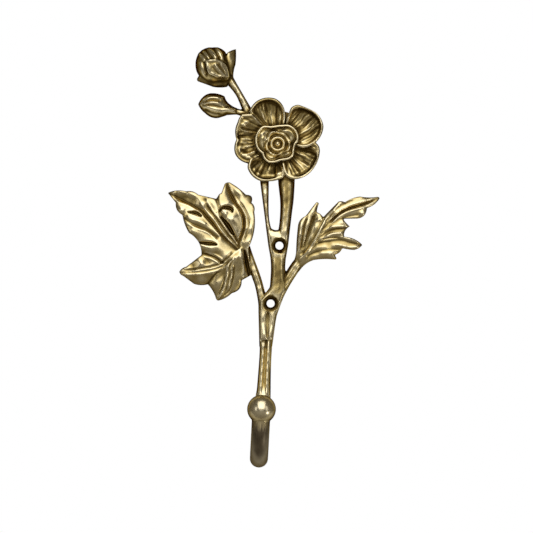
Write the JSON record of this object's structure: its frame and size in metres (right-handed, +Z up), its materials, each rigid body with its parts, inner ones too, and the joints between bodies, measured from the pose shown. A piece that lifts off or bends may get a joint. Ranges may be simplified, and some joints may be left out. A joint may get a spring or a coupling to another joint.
{
  "type": "wall hook",
  "caption": "Cast wall hook shaped as a flowering branch with an open flower, buds and lobed leaves, its stem curling forward to a ball-tipped hook below countersunk screw holes.",
  "frame": {"origin": "midpoint between the screw holes, on the wall plane", "axes": "+X to the right as seen from the front, +Y into the wall, +Z up the wall"},
  "size_m": [0.1063, 0.0395, 0.2091],
  "materials": {
    "brass": "antique brass, dark in the recesses and rubbed bright on the high spots"
  },
  "bodies": {
    "root": {"wall_hook": "brass"}
  },
  "joints": []
}
